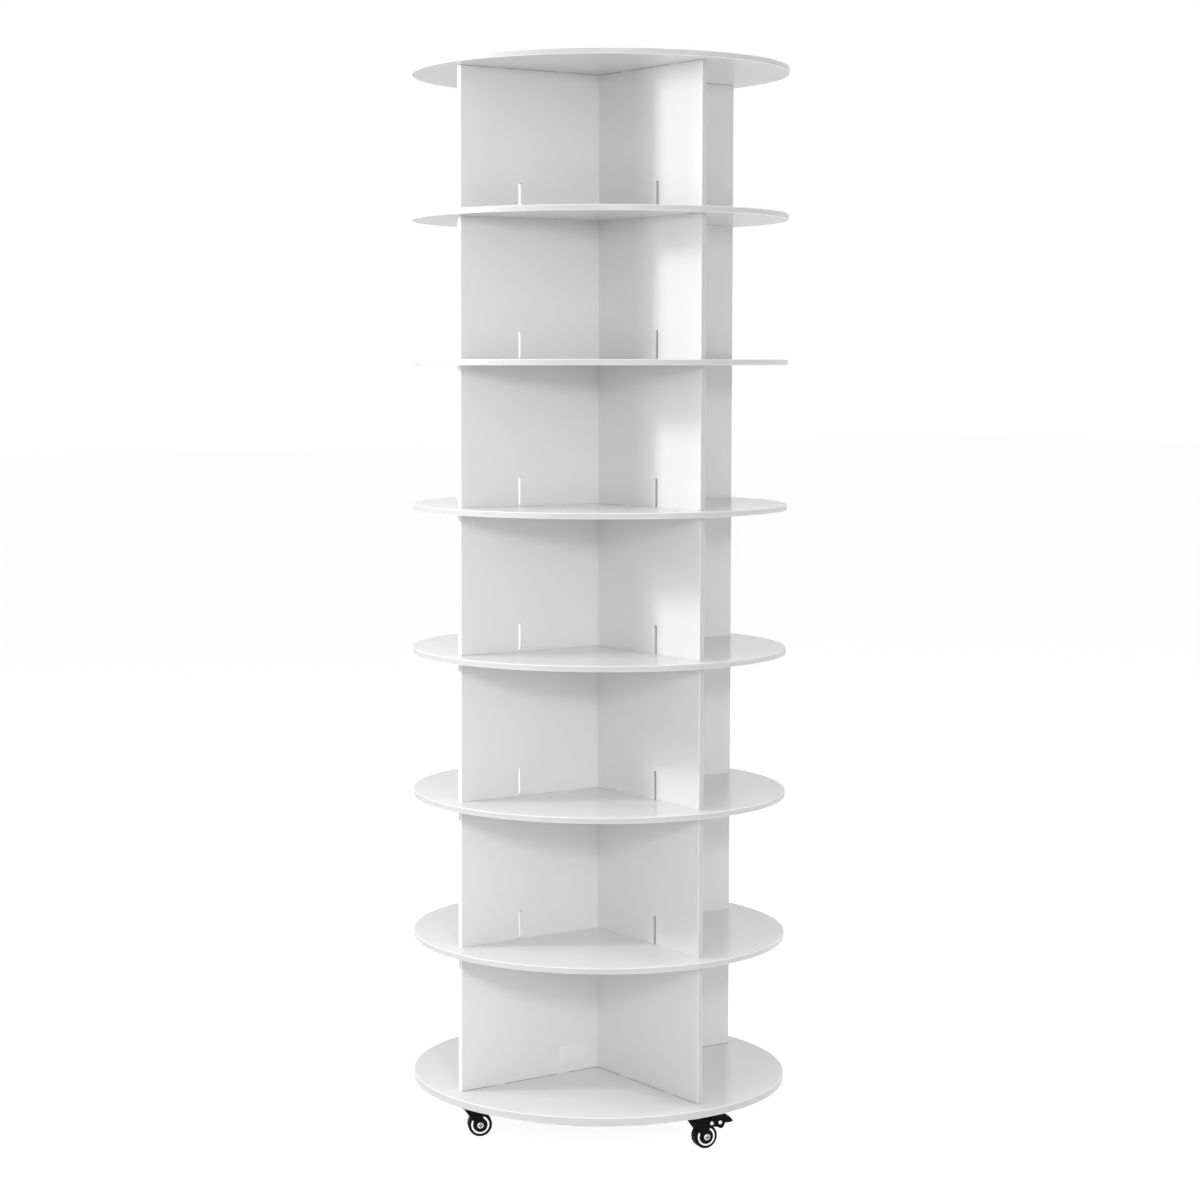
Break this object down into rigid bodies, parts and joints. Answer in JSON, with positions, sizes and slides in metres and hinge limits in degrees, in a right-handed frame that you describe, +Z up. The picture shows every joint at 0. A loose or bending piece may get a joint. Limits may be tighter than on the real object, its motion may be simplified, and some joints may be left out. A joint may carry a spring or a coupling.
{
  "type": "rotating shoe tower",
  "caption": "Tall round shoe tower: white disc shelves and crossed uprights turn on a ring turntable above a base on swivel casters, some with brake pedals.",
  "frame": {"origin": "on the floor, at the tower axis", "axes": "+Z up along the tower axis; the crossed uprights lie along X and Y"},
  "size_m": [0.5999, 0.6, 1.684],
  "materials": {
    "white_board": "white satin coated board",
    "white_plastic": "satin white moulded cap",
    "label": "blank matt label",
    "zinc_steel": "bright zinc plated",
    "ring_aluminium": "satin",
    "bearing_steel": "polished",
    "cage_plastic": "natural nylon",
    "black_steel": "black electrocoat, satin",
    "bright_steel": "bright zinc plated",
    "black_plastic": "moulded black",
    "black_rubber": "smooth matt black",
    "silver_ring": "satin silver"
  },
  "bodies": {
    "base": {"base_disc": "white_board", "caster_stems": "zinc_steel", "insert_nuts": "zinc_steel", "swivel_balls": "bearing_steel", "turntable_outer_ring": "ring_aluminium", "outer_ring_screws": "zinc_steel"},
    "ball_cage": {"turntable_cage": "cage_plastic", "turntable_balls": "bearing_steel"},
    "caster_1_swivel": {"caster_1_fork": "black_steel", "caster_1_axle": "bright_steel"},
    "caster_1_wheel": {"caster_1_hub": "black_plastic", "caster_1_tyre": "black_rubber", "caster_1_trim_rings": "silver_ring"},
    "caster_2_swivel": {"caster_2_fork": "black_steel", "caster_2_axle": "bright_steel"},
    "caster_2_wheel": {"caster_2_hub": "black_plastic", "caster_2_tyre": "black_rubber", "caster_2_trim_rings": "silver_ring"},
    "caster_2_pedal": {"caster_2_brake_pedal": "black_steel", "caster_2_brake_rivets": "bright_steel"},
    "caster_3_swivel": {"caster_3_fork": "black_steel", "caster_3_axle": "bright_steel"},
    "caster_3_wheel": {"caster_3_hub": "black_plastic", "caster_3_tyre": "black_rubber", "caster_3_trim_rings": "silver_ring"},
    "caster_4_swivel": {"caster_4_fork": "black_steel", "caster_4_axle": "bright_steel"},
    "caster_4_wheel": {"caster_4_hub": "black_plastic", "caster_4_tyre": "black_rubber", "caster_4_trim_rings": "silver_ring"},
    "caster_4_pedal": {"caster_4_brake_pedal": "black_steel", "caster_4_brake_rivets": "bright_steel"},
    "tower": {"bottom_shelf": "white_board", "inner_ring_screws": "zinc_steel", "label_plate": "label", "screw_caps": "white_plastic", "shelf_disc_1": "white_board", "shelf_disc_2": "white_board", "shelf_disc_3": "white_board", "shelf_disc_4": "white_board", "shelf_disc_5": "white_board", "shelf_disc_6": "white_board", "shelf_screws": "zinc_steel", "top_disc": "white_board", "turntable_inner_ring": "ring_aluminium", "upright_x_1": "white_board", "upright_x_2": "white_board", "upright_x_3": "white_board", "upright_x_4": "white_board", "upright_x_5": "white_board", "upright_x_6": "white_board", "upright_x_7": "white_board", "upright_y_1": "white_board", "upright_y_2": "white_board", "upright_y_3": "white_board", "upright_y_4": "white_board", "upright_y_5": "white_board", "upright_y_6": "white_board", "upright_y_7": "white_board"}
  },
  "joints": [
    {"name": "tower_spin", "type": "hinge", "parent": "base", "child": "tower", "pos_m": [0, 0, 0.062], "axis": [0, 0, 1], "continuous": true},
    {"name": "cage_spin", "type": "hinge", "parent": "base", "child": "ball_cage", "pos_m": [0, 0, 0.062], "axis": [0, 0, 1], "continuous": true},
    {"name": "caster_1_swivel_spin", "type": "hinge", "parent": "base", "child": "caster_1_swivel", "pos_m": [-0.253, 0, 0.0485], "axis": [0, 0, 1], "continuous": true},
    {"name": "caster_1_wheel_spin", "type": "hinge", "parent": "caster_1_swivel", "child": "caster_1_wheel", "pos_m": [-0.23682, -0.00789, 0.019], "axis": [0.4384, 0.8988, 0], "continuous": true},
    {"name": "caster_2_swivel_spin", "type": "hinge", "parent": "base", "child": "caster_2_swivel", "pos_m": [0, -0.253, 0.0485], "axis": [0, 0, 1], "continuous": true},
    {"name": "caster_2_wheel_spin", "type": "hinge", "parent": "caster_2_swivel", "child": "caster_2_wheel", "pos_m": [0.01754, -0.25705, 0.019], "axis": [0.225, 0.9744, 0], "continuous": true},
    {"name": "caster_2_brake_press", "type": "hinge", "parent": "caster_2_swivel", "child": "caster_2_pedal", "pos_m": [0.02485, -0.25874, 0.0403], "axis": [0.225, 0.9744, 0], "range_deg": [0, 15]},
    {"name": "caster_3_swivel_spin", "type": "hinge", "parent": "base", "child": "caster_3_swivel", "pos_m": [0.253, 0, 0.0485], "axis": [0, 0, 1], "continuous": true},
    {"name": "caster_3_wheel_spin", "type": "hinge", "parent": "caster_3_swivel", "child": "caster_3_wheel", "pos_m": [0.26859, -0.009, 0.019], "axis": [0.5, 0.866, 0], "continuous": true},
    {"name": "caster_4_swivel_spin", "type": "hinge", "parent": "base", "child": "caster_4_swivel", "pos_m": [0, 0.253, 0.0485], "axis": [0, 0, 1], "continuous": true},
    {"name": "caster_4_wheel_spin", "type": "hinge", "parent": "caster_4_swivel", "child": "caster_4_wheel", "pos_m": [0.01783, 0.2505, 0.019], "axis": [0.1392, 0.9903, 0], "continuous": true},
    {"name": "caster_4_brake_press", "type": "hinge", "parent": "caster_4_swivel", "child": "caster_4_pedal", "pos_m": [0.02525, 0.24945, 0.0403], "axis": [0.1392, 0.9903, 0], "range_deg": [0, 15]}
  ],
  "couplings": [
    {"joint": "cage_spin", "follows": "tower_spin", "ratio": 0.49}
  ]
}
